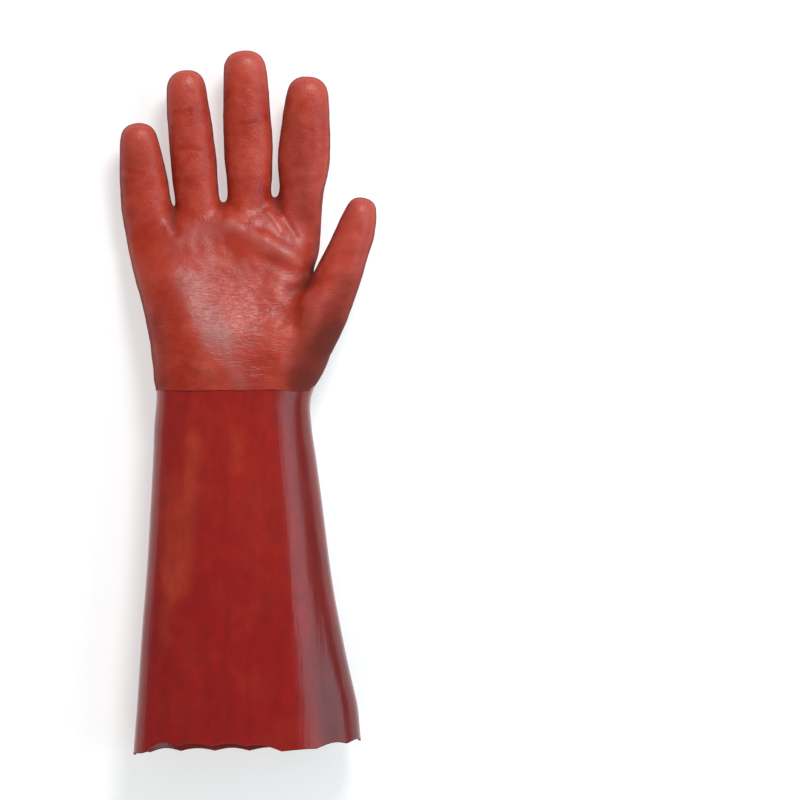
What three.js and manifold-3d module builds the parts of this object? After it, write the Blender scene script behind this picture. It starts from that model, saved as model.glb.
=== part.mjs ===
// A right-hand gauntlet glove of knitted cloth dipped in PVC, lying on its back with the palm up.
// The hand has a thick rough coat, and the sleeve below the wrist a thin smooth one.
// Millimetres, +Z up, +Y towards the fingertips and +X towards the thumb.
// The model is drawn from the middle of the wrist line, then set down with its origin under its middle.
import * as THREE from "three";
import Module from "manifold-3d";

const wasm = await Module();
wasm.setup();

// Lengths along the glove
const cuffLength = 206.5; // wrist line to the points of the scalloped mouth
const palmLength = 107.5; // wrist line to the crotches of the fingers
const fingerLength = 86.3; // crotches to the tip of the middle finger
const thumbLength = 93; // root of the thumb to its tip, along the glove
const thumbSpread = 42.3; // the same, across the glove
const thumbRise = 13; // the same, upwards

// Widths and depths, outside
const wristWidth = 89.5;
const wristDepth = 48;
const mouthWidth = 129;
const mouthDepth = 57;
const mouthShift = 7.7; // how far the middle of the mouth lies towards the thumb
const mouthSlant = 8; // how much shorter the sleeve is at the thumb side
const palmWidth = 116;
const palmShift = 7; // how far the middle of the knuckles lies towards the little finger
const knuckleDepth = 24;
const knuckleSlant = 0.1; // how much further the crotches lie for each millimetre towards the thumb
const fingerWidth = 28.5;
const fingerDepth = 23.5;
const fingerRise = 9; // how far the tips curl up
const fingerLift = 0.15; // how far the fingers' undersides clear the table at their roots
const thumbWidth = 20.5;
const thumbDepth = 23;

// Walls, lap and edge
const handWall = 1.9; // the rough coat with its cloth
const rimWall = 1; // the same where it laps over the sleeve
const cuffWall = 1.5;
const lap = 12; // how far the sleeve runs up inside the hand
const gap = 0.3; // clearance in the lap
const scallopCount = 16;
const scallopDepth = 1.8;
const scallopBand = 5.5; // height of the band above the mouth that the scallops fade out in
const flatten = 1.6; // how much the underside gives where it lies on a table
const palmHollow = 4; // depth of the hollow of the palm
const palmFold = 2.2; // height of the fold below the fingers

// How finely each form is divided
const bodyPoints = scallopCount * 5;
const palmPoints = 46;
const fingerPoints = 16;
const outlineSteps = 360;
const sleeveSteps = 11;
const palmSteps = 9;
const tipSteps = 4;
const poleShare = 0.4; // the last ring of a tip stops this share of a step short of the pole

// How round each form is
const bodySquareness = 2.5; // exponent of the rounded sections, where 2 is an ellipse
const fingerSquareness = 2.25;
const tipBluntness = 0.8; // below 1 a tip is blunter than a ball
const fingerTipRound = 0.46; // length of a round tip as a share of its width
const thumbTipRound = 0.42;

// Sections of the sleeve. along is a share of cuffLength below the wrist line, little and thumb are shares
// of the flare on each side, and depth is the share of the way from wristDepth to mouthDepth.
const sleeveRows = [
  { along: 1.0, little: 1.0, thumb: 1.0, depth: 1.0 },
  { along: 0.92, little: 0.87, thumb: 0.97, depth: 0.94 },
  { along: 0.8, little: 0.73, thumb: 0.81, depth: 0.82 },
  { along: 0.65, little: 0.57, thumb: 0.59, depth: 0.62 },
  { along: 0.5, little: 0.37, thumb: 0.39, depth: 0.42 },
  { along: 0.35, little: 0.22, thumb: 0.25, depth: 0.22 },
  { along: 0.2, little: 0.08, thumb: 0.1, depth: 0.04 },
  { along: 0.09, little: 0.01, thumb: -0.02, depth: -0.06 },
];
const slantReach = 0.3; // share of cuffLength, from the mouth up, that takes up the mouth's slant

// Sections of the palm. along is a share of palmLength above the wrist line, little and thumb are shares of
// the way from the wrist's side to the knuckles' side, and depth one of that from wristDepth to knuckleDepth.
const palmRows = [
  { along: 0.0, little: 0.0, thumb: 0.05, depth: 0.0 },
  { along: 0.12, little: 0.05, thumb: 1.2, depth: 0.0 },
  { along: 0.25, little: 0.13, thumb: 1.9, depth: 0.05 },
  { along: 0.42, little: 0.29, thumb: 2.0, depth: 0.2 },
  { along: 0.6, little: 0.54, thumb: 0.62, depth: 0.42 },
  { along: 0.78, little: 0.76, thumb: 0.74, depth: 0.68 },
  { along: 0.94, little: 0.93, thumb: 0.9, depth: 0.92 },
  { along: 1.0, little: 0.97, thumb: 0.95, depth: 1.0 },
];
// The palm's rounded end between the fingers. past is a share of webLength, and depth one of its full depth.
const webRows = [
  { past: 0.3, depth: 0.94 },
  { past: 0.6, depth: 0.82 },
  { past: 0.85, depth: 0.62 },
  { past: 1.0, depth: 0.38 },
];
const webLength = 11;

// The fingers. at is the place of the root from the middle of the knuckles and lean the sideways run to the
// tip, as shares of palmWidth, reach is a share of fingerLength, root, middle and tip are widths as shares
// of fingerWidth, and rise is a share of fingerRise. They run from the little finger to the index.
const fingers = [
  { at: -0.37, lean: -0.035, reach: 0.518, root: 1.04, middle: 0.98, tip: 0.76, rise: 1.35 },
  { at: -0.12, lean: -0.054, reach: 0.868, root: 0.9, middle: 0.93, tip: 0.8, rise: 1.1 },
  { at: 0.1385, lean: -0.024, reach: 1.0, root: 0.88, middle: 1.0, tip: 0.87, rise: 1.0 },
  { at: 0.391, lean: 0.03, reach: 0.827, root: 0.84, middle: 1.07, tip: 0.86, rise: 1.1 },
];
const fingerRoot = 26.5; // how far a finger's form starts below the crotches, inside the palm
const fingerTuck = 0.18; // how far its start closes up to the palm's middle, as a share of its distance

// Sections of a finger. past is a share of its length from its root, and tuck one of fingerTuck. The width
// lies a share of the way from one named width of the finger to the next, times size. depth is a share of
// fingerDepth, and rise one of the finger's own rise.
const fingerRows = [
  { past: 0.0, tuck: 1.0, from: "root", to: "middle", share: 0.0, size: 0.82, depth: 0.9, rise: 0.06 },
  { past: 0.2, tuck: 0.3, from: "root", to: "middle", share: 0.0, size: 0.97, depth: 1.08, rise: 0.02 },
  { past: 0.4, tuck: 0.0, from: "root", to: "middle", share: 0.3, size: 1.0, depth: 1.08, rise: 0.1 },
  { past: 0.58, tuck: 0.0, from: "root", to: "middle", share: 1.0, size: 1.0, depth: 1.02, rise: 0.28 },
  { past: 0.74, tuck: 0.0, from: "middle", to: "tip", share: 0.25, size: 1.0, depth: 0.97, rise: 0.5 },
  { past: 0.88, tuck: 0.0, from: "middle", to: "tip", share: 0.6, size: 1.0, depth: 0.9, rise: 0.75 },
  { past: 1.0, tuck: 0.0, from: "middle", to: "tip", share: 1.0, size: 1.0, depth: 0.82, rise: 1.0 },
];

// The thumb. across, up and rise are shares of thumbSpread, thumbLength and thumbRise from its root,
// and width and depth are shares of thumbWidth and thumbDepth.
const thumbRows = [
  { across: 0.0, up: 0.0, rise: 0.0, width: 1.42, depth: 1.4 },
  { across: 0.28, up: 0.17, rise: 0.2, width: 1.64, depth: 1.5 },
  { across: 0.5, up: 0.37, rise: 0.45, width: 1.5, depth: 1.36 },
  { across: 0.69, up: 0.58, rise: 0.68, width: 1.3, depth: 1.18 },
  { across: 0.835, up: 0.75, rise: 0.85, width: 1.15, depth: 1.06 },
  { across: 0.95, up: 0.9, rise: 0.95, width: 1.07, depth: 0.98 },
  { across: 1.0, up: 1.0, rise: 1.0, width: 0.87, depth: 0.9 },
];
const thumbRootAcross = 0.26; // of palmWidth
const thumbRootUp = 0.152; // of palmLength
const thumbRootHeight = 0.5; // of wristDepth

// Relief of the palm side. across is a share of palmWidth from the wrist's middle, along a share of
// palmLength, long and wide are the half sizes as shares of palmWidth, turn is in degrees, and hollow and
// fold are shares of palmHollow and palmFold.
const relief = [
  { across: 0.02, along: 0.55, long: 0.27, wide: 0.2, turn: -20, hollow: -1, fold: 0 },
  { across: -0.14, along: 0.29, long: 0.2, wide: 0.17, turn: 70, hollow: 0.35, fold: 0 },
  { across: 0.14, along: 0.82, long: 0.2, wide: 0.045, turn: -27, hollow: 0, fold: 1 },
  { across: 0.2, along: 0.91, long: 0.16, wide: 0.035, turn: -32, hollow: 0, fold: -0.6 },
  { across: 0.3, along: 0.52, long: 0.2, wide: 0.05, turn: 58, hollow: 0, fold: -0.9 },
];
// The relief fades in between these heights, as shares of wristDepth, and over this run above the lap.
const reliefLow = 0.2;
const reliefHigh = 0.5;
const reliefRun = 36;

const blend = (from, to, share) => from + (to - from) * share;
const ease = (share) => {
  const held = Math.min(1, Math.max(0, share));
  return held * held * (3 - 2 * held);
};

// A smooth curve through a table: the value of one column where another column, at, has the value asked for.
function read(rows, column, at, value) {
  const ordered = [...rows].sort((a, b) => a[at] - b[at]);
  const last = ordered.length - 1;
  const above = ordered.findIndex((row) => row[at] > value);
  const i = Math.min(Math.max(above < 0 ? last : above - 1, 0), last - 1);
  const [a, b] = [ordered[i], ordered[i + 1]];
  const before = ordered[Math.max(i - 1, 0)];
  const after = ordered[Math.min(i + 2, last)];
  const run = b[at] - a[at];
  const t = Math.min(Math.max((value - a[at]) / run, 0), 1);
  const slopeA = ((b[column] - before[column]) / (b[at] - before[at])) * run;
  const slopeB = ((after[column] - a[column]) / (after[at] - a[at])) * run;
  const [t2, t3] = [t * t, t * t * t];
  return (
    (2 * t3 - 3 * t2 + 1) * a[column] + (t3 - 2 * t2 + t) * slopeA +
    (3 * t2 - 2 * t3) * b[column] + (t3 - t2) * slopeB
  );
}

// The body's outer form at any place along the glove, from the mouth to the knuckles, in millimetres.
const side = { little: -wristWidth / 2, thumb: wristWidth / 2 };
const mouth = { little: mouthShift - mouthWidth / 2, thumb: mouthShift + mouthWidth / 2 };
const knuckles = { little: -palmShift - palmWidth / 2, thumb: -palmShift + palmWidth / 2 };
const bodyRows = [
  ...sleeveRows.map((row) => ({
    y: -row.along * cuffLength,
    little: blend(side.little, mouth.little, row.little),
    thumb: blend(side.thumb, mouth.thumb, row.thumb),
    depth: blend(wristDepth, mouthDepth, row.depth),
  })),
  ...palmRows.map((row) => ({
    y: row.along * palmLength,
    little: blend(side.little, knuckles.little, row.little),
    thumb: blend(side.thumb, knuckles.thumb, row.thumb),
    depth: blend(wristDepth, knuckleDepth, row.depth),
  })),
];

// A rounded outline as equally spaced points [u, v], with u across and v up, from its rightmost point round.
function outline(halfWidth, halfDepth, squareness, count, lowest = -Infinity) {
  const power = (value) => Math.sign(value) * Math.abs(value) ** (2 / squareness);
  const dense = Array.from({ length: outlineSteps + 1 }, (_, i) => {
    const angle = (i / outlineSteps) * 2 * Math.PI;
    const v = Math.max(halfDepth * power(Math.sin(angle)), lowest);
    return new THREE.Vector2(halfWidth * power(Math.cos(angle)), v);
  });
  const lengths = [0];
  dense.slice(1).forEach((point, i) => lengths.push(lengths[i] + point.distanceTo(dense[i])));
  let j = 0;
  return Array.from({ length: count }, (_, i) => {
    const wanted = (i / count) * lengths[outlineSteps];
    while (lengths[j + 1] < wanted) j += 1;
    const share = (wanted - lengths[j]) / (lengths[j + 1] - lengths[j] || 1);
    return dense[j].clone().lerp(dense[j + 1], share);
  });
}

// A ring of the body at y, inset from its outer form by a wall. Its underside is flat on the table.
function bodyRing(y, inset, count, depthShare = 1) {
  const [little, thumb] = ["little", "thumb"].map((key) => read(bodyRows, key, "y", y));
  const depth = read(bodyRows, "depth", "y", y);
  const halfDepth = (depth + flatten) / 2;
  const middle = depth - halfDepth;
  const halfWidth = (thumb - little) / 2;
  const lowest = inset - middle;
  const points = outline(halfWidth - inset, halfDepth * depthShare - inset, bodySquareness, count, lowest);
  return points.map((p) => new THREE.Vector3((little + thumb) / 2 + p.x, y, middle + p.y));
}

// A skin through rings of equally many points. An open run of rings gets a cap at each end.
function loft(rings, closed) {
  const count = rings[0].length;
  const points = rings.flat();
  const faces = [];
  const steps = closed ? rings.length : rings.length - 1;
  for (let i = 0; i < steps; i += 1) {
    const [here, next] = [i * count, ((i + 1) % rings.length) * count];
    for (let j = 0; j < count; j += 1) {
      const k = (j + 1) % count;
      faces.push(here + j, next + k, here + k, here + j, next + j, next + k);
    }
  }
  const cap = (ring, start, turned) => {
    const middle = points.length;
    points.push(ring.reduce((sum, p) => sum.add(p), new THREE.Vector3()).divideScalar(count));
    for (let j = 0; j < count; j += 1) {
      const pair = [start + j, start + ((j + 1) % count)];
      faces.push(middle, ...(turned ? pair.reverse() : pair));
    }
  };
  if (!closed) {
    cap(rings[0], 0, false);
    cap(rings[rings.length - 1], (rings.length - 1) * count, true);
  }
  const geometry = new THREE.BufferGeometry().setFromPoints(points);
  return geometry.setIndex(faces);
}

function toSolid(geometry) {
  const vertProperties = new Float32Array(geometry.attributes.position.array);
  const triVerts = new Uint32Array(geometry.index.array);
  return new wasm.Manifold(new wasm.Mesh({ numProp: 3, vertProperties, triVerts }));
}

function toGeometry(solid) {
  const mesh = solid.getMesh();
  const places = new Float32Array(mesh.numVert * 3);
  for (let i = 0; i < mesh.numVert; i += 1) {
    places.set(mesh.vertProperties.subarray(i * mesh.numProp, i * mesh.numProp + 3), i * 3);
  }
  return new THREE.BufferGeometry()
    .setAttribute("position", new THREE.BufferAttribute(places, 3))
    .setIndex(new THREE.BufferAttribute(mesh.triVerts, 1));
}

// A finger or thumb: rings square to a path, closed by a round tip. Each station has a centre, a width and a
// depth, and inset is the wall taken off all round and at the tip.
function digit(stations, inset) {
  const path = new THREE.CatmullRomCurve3(stations.map((s) => s.centre), false, "centripetal");
  const last = stations.length - 1;
  const rings = [];
  const ring = (centre, forward, halfWidth, halfDepth) => {
    const across = new THREE.Vector3().crossVectors(forward, new THREE.Vector3(0, 0, 1)).normalize();
    const up = new THREE.Vector3().crossVectors(across, forward);
    rings.push(outline(halfWidth, halfDepth, fingerSquareness, fingerPoints).map((p) =>
      centre.clone().addScaledVector(across, p.x).addScaledVector(up, p.y)));
  };
  stations.forEach((station, i) => {
    ring(station.centre, path.getTangent(i / last), station.width / 2 - inset, station.depth / 2 - inset);
  });
  const end = stations[last];
  const forward = path.getTangent(1);
  for (let k = 1; k <= tipSteps; k += 1) {
    const angle = (k / (tipSteps + poleShare)) * (Math.PI / 2);
    const centre = end.centre.clone().addScaledVector(forward, (end.round - inset) * Math.sin(angle));
    const shrink = Math.cos(angle) ** tipBluntness;
    ring(centre, forward, (end.width / 2 - inset) * shrink, (end.depth / 2 - inset) * shrink);
  }
  return loft(rings, false);
}

function fingerStations(finger) {
  const root = new THREE.Vector2(finger.at * palmWidth - palmShift, palmLength - fingerRoot);
  const crotch = palmLength + knuckleSlant * root.x;
  const round = fingerWidth * finger.tip * fingerTipRound;
  const tipY = palmLength + finger.reach * fingerLength - round;
  return fingerRows.map((row) => {
    const y = blend(root.y, tipY, row.past);
    const lean = Math.max(0, (y - crotch) / (tipY - crotch)) * finger.lean * palmWidth;
    const x = root.x + lean - row.tuck * fingerTuck * finger.at * palmWidth;
    const width = row.size * blend(finger[row.from], finger[row.to], row.share) * fingerWidth;
    const depth = row.depth * fingerDepth;
    const z = fingerLift + depth / 2 + row.rise * finger.rise * fingerRise;
    return { centre: new THREE.Vector3(x, y, z), width, depth, round };
  });
}

function thumbStations() {
  const root = new THREE.Vector3(
    thumbRootAcross * palmWidth, thumbRootUp * palmLength, thumbRootHeight * wristDepth);
  const round = thumbWidth * thumbTipRound;
  const reach = thumbLength - round;
  return thumbRows.map((row) => ({
    centre: new THREE.Vector3(row.across * thumbSpread, row.up * reach, row.rise * thumbRise).add(root),
    width: row.width * thumbWidth,
    depth: row.depth * thumbDepth,
    round,
  }));
}

// The palm as one closed form. insetAt gives the wall at each place, and below is how far the form runs down
// past the wrist line, so that the inner one cuts the hand open there.
function palm(insetAt, below) {
  const wall = insetAt(palmLength);
  const start = palmLength - webLength - wall;
  const heights = [-below, 0, lap, lap + gap, lap + 2 * gap].filter((y, i) => i > 0 || below > 0);
  for (let i = 2; i <= palmSteps; i += 1) heights.push((i / palmSteps) * start);
  const sections = [
    ...heights.map((y) => ({ y, depth: 1 })),
    ...webRows.map((row) => ({ y: start + row.past * webLength, depth: row.depth })),
  ];
  const rings = sections.map(({ y, depth }) => {
    const ring = bodyRing(Math.max(y, 0), insetAt(y), palmPoints, depth);
    ring.forEach((p) => {
      p.y = y + knuckleSlant * p.x * ease(y / start);
    });
    return ring;
  });
  return loft(rings, false);
}

// The palm's relief moves a point up or down by its place, so both sides of the wall move together.
function carve(geometry) {
  const places = geometry.attributes.position;
  const fadeIn = (value, from, to) => ease((value - from) / (to - from));
  for (let i = 0; i < places.count; i += 1) {
    const [x, y, z] = [places.getX(i), places.getY(i), places.getZ(i)];
    const upper = fadeIn(z / wristDepth, reliefLow, reliefHigh) * fadeIn(y, lap, lap + reliefRun);
    const move = relief.reduce((sum, row) => {
      const turn = THREE.MathUtils.degToRad(row.turn);
      const [dx, dy] = [x - row.across * palmWidth, y - row.along * palmLength];
      const u = (dx * Math.cos(turn) + dy * Math.sin(turn)) / (row.long * palmWidth);
      const v = (dy * Math.cos(turn) - dx * Math.sin(turn)) / (row.wide * palmWidth);
      return sum + (row.hollow * palmHollow + row.fold * palmFold) * Math.exp(-u * u - v * v);
    }, 0);
    places.setZ(i, z + move * upper);
  }
  return geometry;
}

function handGeometry() {
  const form = (insetAt, below) => {
    const wall = insetAt(palmLength);
    const digits = [...fingers.map(fingerStations), thumbStations()].map((stations) => digit(stations, wall));
    return digits.reduce((sum, one) => sum.add(toSolid(one)), toSolid(palm(insetAt, below)));
  };
  const outer = form(() => 0, 0);
  const lapTop = lap + gap;
  const inner = form((y) => (y <= lapTop ? rimWall : handWall), lap);
  return carve(toGeometry(outer.subtract(inner)));
}

// The sleeve: one wall from the scalloped mouth up to the lap inside the hand, closed on itself.
function gauntletGeometry() {
  const tuck = (y) => (rimWall + gap) * ease(1 + y / lap);
  const bottom = -cuffLength;
  const heights = Array.from({ length: sleeveSteps + 1 }, (_, i) => blend(bottom, 0, i / sleeveSteps));
  heights.splice(1, 0, bottom + scallopBand);
  heights.push(lap);
  const ringAt = (y, wall) => {
    const ring = bodyRing(y, tuck(Math.min(y, 0)) + wall, bodyPoints);
    const nearMouth = ease(1 - (y - bottom) / (cuffLength * slantReach));
    const onEdge = y === bottom ? scallopDepth : 0;
    ring.forEach((p, i) => {
      const across = (p.x - mouthShift) / (mouthWidth / 2);
      const slant = mouthSlant * ease(across) * nearMouth;
      p.y += slant + onEdge * Math.abs(Math.sin((i * Math.PI * scallopCount) / bodyPoints));
    });
    return ring;
  };
  const outside = heights.map((y) => ringAt(y, 0));
  const inside = heights.map((y) => ringAt(y, cuffWall)).reverse();
  return loft([...outside, ...inside], true);
}

const roughCoat = new THREE.MeshStandardMaterial({ color: 0xb04a3c, roughness: 0.62, metalness: 0 });
const smoothCoat = new THREE.MeshStandardMaterial({ color: 0x8c2018, roughness: 0.28, metalness: 0 });

const glove = new THREE.Group();
function place(name, geometry, material) {
  geometry.computeVertexNormals();
  const mesh = new THREE.Mesh(geometry, material);
  mesh.name = name;
  glove.add(mesh);
}
place("hand", handGeometry(), roughCoat);
place("gauntlet", gauntletGeometry(), smoothCoat);

// Set down: the origin under the middle of the glove, on the table.
const box = new THREE.Box3().setFromObject(glove, true);
const middle = box.getCenter(new THREE.Vector3());
glove.position.set(-middle.x, -middle.y, -box.min.z);

export default glove;
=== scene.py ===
# %% [markdown]
# # A PVC coated gauntlet glove
#
# The real glove is a knitted cotton hand dipped twice in soft red PVC. The hand gets a thick coat with a
# crinkled grip, and the long sleeve a thin smooth one that shines. It lies here on its back, palm up, and the
# camera looks straight down at it.
#
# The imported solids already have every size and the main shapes. This lesson gives them the skin of the real
# thing. The solids hold two nodes, `hand` and `gauntlet`, and each gets one finer piece that stands for it.

# %% Load the solids
import math

import bmesh
import bpy
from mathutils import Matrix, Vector, noise


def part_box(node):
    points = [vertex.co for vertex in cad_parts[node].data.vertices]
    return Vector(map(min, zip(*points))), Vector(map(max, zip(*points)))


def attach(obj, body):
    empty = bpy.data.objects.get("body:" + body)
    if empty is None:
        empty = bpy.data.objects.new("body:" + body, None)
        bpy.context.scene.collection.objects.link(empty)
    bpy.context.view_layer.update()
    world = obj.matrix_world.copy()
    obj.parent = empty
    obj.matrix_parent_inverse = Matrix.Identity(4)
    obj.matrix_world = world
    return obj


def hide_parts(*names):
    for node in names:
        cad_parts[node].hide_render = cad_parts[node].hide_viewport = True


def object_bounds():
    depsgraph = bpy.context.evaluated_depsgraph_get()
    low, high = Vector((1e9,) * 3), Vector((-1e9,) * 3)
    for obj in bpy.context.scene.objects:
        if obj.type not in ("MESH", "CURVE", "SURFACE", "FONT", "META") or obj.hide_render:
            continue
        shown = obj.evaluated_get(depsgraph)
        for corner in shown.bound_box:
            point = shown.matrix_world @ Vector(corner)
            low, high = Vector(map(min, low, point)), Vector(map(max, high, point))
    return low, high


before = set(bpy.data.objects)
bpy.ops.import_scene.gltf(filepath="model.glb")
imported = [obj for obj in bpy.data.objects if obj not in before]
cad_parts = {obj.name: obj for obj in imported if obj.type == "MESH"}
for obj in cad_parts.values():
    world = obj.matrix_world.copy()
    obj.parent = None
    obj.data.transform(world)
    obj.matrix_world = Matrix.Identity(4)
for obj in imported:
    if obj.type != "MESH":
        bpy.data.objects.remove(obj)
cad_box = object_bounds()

MM = 0.001
low_corner, high_corner = cad_box
print("solids from", [round(v, 4) for v in low_corner], "to", [round(v, 4) for v in high_corner])

# %% [markdown]
# ## The camera
#
# Everything in this scene is judged from the camera, so it comes first. A product photo is taken with a long
# lens from far away, which keeps the outline free of perspective. The camera could look at the glove's middle
# and use lens shift to put it left in the frame, but moving the whole camera sideways keeps the shift at zero
# and so does no harm to other views.

# %% Look straight down through a long lens
FRAME_WIDTH = 455.2 * MM  # what the square frame spans at the height of the glove
FRAME_CENTRE = Vector((86.5 * MM, 0.9 * MM, 20 * MM))
CAMERA_DISTANCE = 2.4
SENSOR = 36.0

camera_data = bpy.data.cameras.new("camera")
camera_data.sensor_width = SENSOR
camera_data.lens = SENSOR * CAMERA_DISTANCE / FRAME_WIDTH
camera = bpy.data.objects.new("camera", camera_data)
camera.location = FRAME_CENTRE + Vector((0, 0, CAMERA_DISTANCE))
bpy.context.scene.collection.objects.link(camera)
bpy.context.scene.camera = camera
print("lens", round(camera_data.lens, 1), "mm at", CAMERA_DISTANCE, "m")

# %% [markdown]
# ## Helpers for meshes
#
# Every piece starts in a bmesh, becomes an object at the origin, and may take modifiers that are applied at
# once. `settle` does the last step: it reads the mesh that the modifiers give and puts it in place of the old
# one, so nothing live is left on the piece.

# %% From bmesh to object and back
def make_piece(name, bm):
    """An object at the origin that holds the bmesh's mesh."""
    mesh = bpy.data.meshes.new(name)
    bm.to_mesh(mesh)
    bm.free()
    piece = bpy.data.objects.new(name, mesh)
    bpy.context.scene.collection.objects.link(piece)
    return piece


def settle(piece):
    """Applies the piece's modifiers."""
    bpy.context.view_layer.update()
    graph = bpy.context.evaluated_depsgraph_get()
    mesh = bpy.data.meshes.new_from_object(piece.evaluated_get(graph))
    old = piece.data
    piece.modifiers.clear()
    piece.data = mesh
    bpy.data.meshes.remove(old)


def opened(piece):
    """A bmesh with the piece's mesh."""
    bm = bmesh.new()
    bm.from_mesh(piece.data)
    return bm


def closed(piece, bm):
    """Writes the bmesh back to the piece."""
    bm.to_mesh(piece.data)
    bm.free()


def ease(value, start=0.0, end=1.0):
    """Rises smoothly from 0 at start to 1 at end."""
    share = min(1.0, max(0.0, (value - start) / (end - start)))
    return share * share * (3 - 2 * share)


BELL_REACH = 3  # half widths from its middle at which a bell curve is as good as flat


def bell(across):
    """1 in the middle, and falls smoothly to both sides. across is counted in half widths."""
    return math.exp(-across * across)


def count_triangles(piece):
    return sum(len(polygon.vertices) - 2 for polygon in piece.data.polygons)


print("half a width from its middle a bell curve is still", round(bell(0.5), 2), "high")

# %% [markdown]
# ## The skin of the hand
#
# A dipped coat flows: where two fingers meet, the liquid PVC fills the corner and leaves a soft web. The
# solid has hard creases there, because its fingers and palm were joined by a boolean. A voxel remesh turns
# the solid's outer skin into an even net of small squares, and smoothing then rounds each crease as the
# liquid would. The alternative, modelling the webs by hand, gives cleaner edge flow but a stiffer look.
#
# The squares must be finer than half the narrowest gap between two fingers, or the net grows across it. They
# are no finer than that asks for, which keeps the piece below 200,000 triangles.
#
# The outer skin is found by walking: the flat rim at the wrist is deleted, and what can still be reached from
# the tip of the middle finger is the outside. What can't be reached is the inside, which comes back later.

# %% Take one skin off a copy of the solid
MERGE = 0.01 * MM
SKIRT = 8 * MM  # length added below the wrist, so that smoothing doesn't round the rim


def skin(node, outside):
    """The outer or inner skin of a hollow solid that is open at its lowest y."""
    bm = bmesh.new()
    bm.from_mesh(node.data)
    bmesh.ops.remove_doubles(bm, verts=bm.verts, dist=MERGE)
    lowest = min(v.co.y for v in bm.verts)
    rim = [f for f in bm.faces if all(v.co.y < lowest + MERGE for v in f.verts)]
    bmesh.ops.delete(bm, geom=rim, context="FACES")
    tip = max(bm.verts, key=lambda v: v.co.y)
    reached, waiting = {tip}, [tip]
    while waiting:
        for edge in waiting.pop().link_edges:
            for v in edge.verts:
                if v not in reached:
                    reached.add(v)
                    waiting.append(v)
    unwanted = [v for v in bm.verts if (v in reached) != outside]
    bmesh.ops.delete(bm, geom=unwanted, context="VERTS")
    return bm


hand_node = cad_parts["hand"]
gauntlet_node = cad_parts["gauntlet"]
wrist_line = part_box("hand")[0].y

bm = skin(hand_node, outside=True)
border = [e for e in bm.edges if e.is_boundary]
skirt = bmesh.ops.extrude_edge_only(bm, edges=border)["geom"]
skirt_points = [v for v in skirt if isinstance(v, bmesh.types.BMVert)]
bmesh.ops.translate(bm, verts=skirt_points, vec=(0, -SKIRT, 0))
bmesh.ops.holes_fill(bm, edges=[e for e in bm.edges if e.is_boundary], sides=0)
print("outer skin with", len(bm.faces), "faces, wrist line at y", round(wrist_line, 4))
hand = make_piece("glove_hand", bm)

# %% Remesh it into small squares
VOXEL = 0.9 * MM

net = hand.modifiers.new("even net", "REMESH")
net.mode = "VOXEL"
net.voxel_size = VOXEL
net.use_smooth_shade = True
settle(hand)
print("net of", len(hand.data.polygons), "squares")

# %% [markdown]
# The solid's fingers have sixteen flat sides, which must go too. Plain smoothing takes them off, and shrinks
# the glove by a fifth of a millimetre on the way, so the skin is then moved out again by that much. Round the
# roots of the fingers the solid also has a small step, where each finger's tube leaves the end of the palm.
# There the skin is smoothed further, but only up and down, so that the outline seen from above stays.

# %% Smooth the skin
ROUNDING_PASSES = 30
PASS_STRENGTH = 0.5  # how far a pass moves a point towards the middle of its neighbours
SHRUNK = 0.2 * MM
ROOT_PASSES = 70
ROOTS_START, ROOTS_END = 86 * MM, 122 * MM  # above the wrist line
PALM_SIDE = 0.35  # least upward part of a normal on the palm side


def relax(bm, points, sideways=True):
    """Smooths the points once, or only up and down."""
    bmesh.ops.smooth_vert(
        bm, verts=points, factor=PASS_STRENGTH, use_axis_x=sideways, use_axis_y=sideways, use_axis_z=True
    )



bm = opened(hand)
for _ in range(ROUNDING_PASSES):
    relax(bm, bm.verts)
bm.normal_update()
for v in bm.verts:
    v.co += v.normal * SHRUNK
roots = [
    v for v in bm.verts
    if ROOTS_START < v.co.y - wrist_line < ROOTS_END and v.normal.z > PALM_SIDE
]
for _ in range(ROOT_PASSES):
    relax(bm, roots, sideways=False)
closed(hand, bm)
print("smoothed,", len(roots), "points round the finger roots")

# %% [markdown]
# Thumb and palm lie against each other at the crotch, where only a thin gap parts them. The net is too
# coarse to hold such a gap open, so it's drawn in afterwards: the points at its end are moved along it, most
# in the middle and less to both sides.
#
# From here on, places on the palm are given in millimetres from the middle of the wrist line, first towards
# the thumb and then towards the fingertips.

# %% Draw in the gap beside the thumb
WRIST_MIDDLE = Vector((-8.3 * MM, wrist_line))
GAP_START, GAP_END = (49.2, 75.5), (44.8, 65.5)
GAP_DEPTH = 7.5
GAP_WIDTH = 1.3
INNER_GAP_WIDTH = 4.0  # wider, because the inner skin's points lie farther apart
GAP_ABOVE, GAP_BELOW = 9.0, 17.0  # how far the pull reaches up and down from the start


def from_wrist(place):
    """A place on the palm, in millimetres from the middle of the wrist line."""
    return Vector((place.x - WRIST_MIDDLE.x, place.y - WRIST_MIDDLE.y)) / MM


def drawn_in(place, width):
    """How the pull of the gap moves a point, as a vector. It fades over width to both sides."""
    start, end = Vector(GAP_START), Vector(GAP_END)
    along = (end - start).normalized()
    spot = from_wrist(place) - start
    run = spot.dot(along)
    across = (spot - along * run).length / width
    if across > BELL_REACH or not -GAP_ABOVE < run < GAP_BELOW:
        return Vector((0, 0, 0))
    pull = GAP_DEPTH * MM * bell(across)
    pull *= ease(run, -GAP_ABOVE, 0) * (1 - ease(run, 0, GAP_BELOW))
    return Vector((along.x, along.y, 0)) * pull


bm = opened(hand)
moved = 0
for v in bm.verts:
    pull = drawn_in(v.co, GAP_WIDTH)
    if pull.length > 0:
        v.co += pull
        moved += 1
closed(hand, bm)
print("gap beside the thumb:", moved, "points moved")

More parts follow.
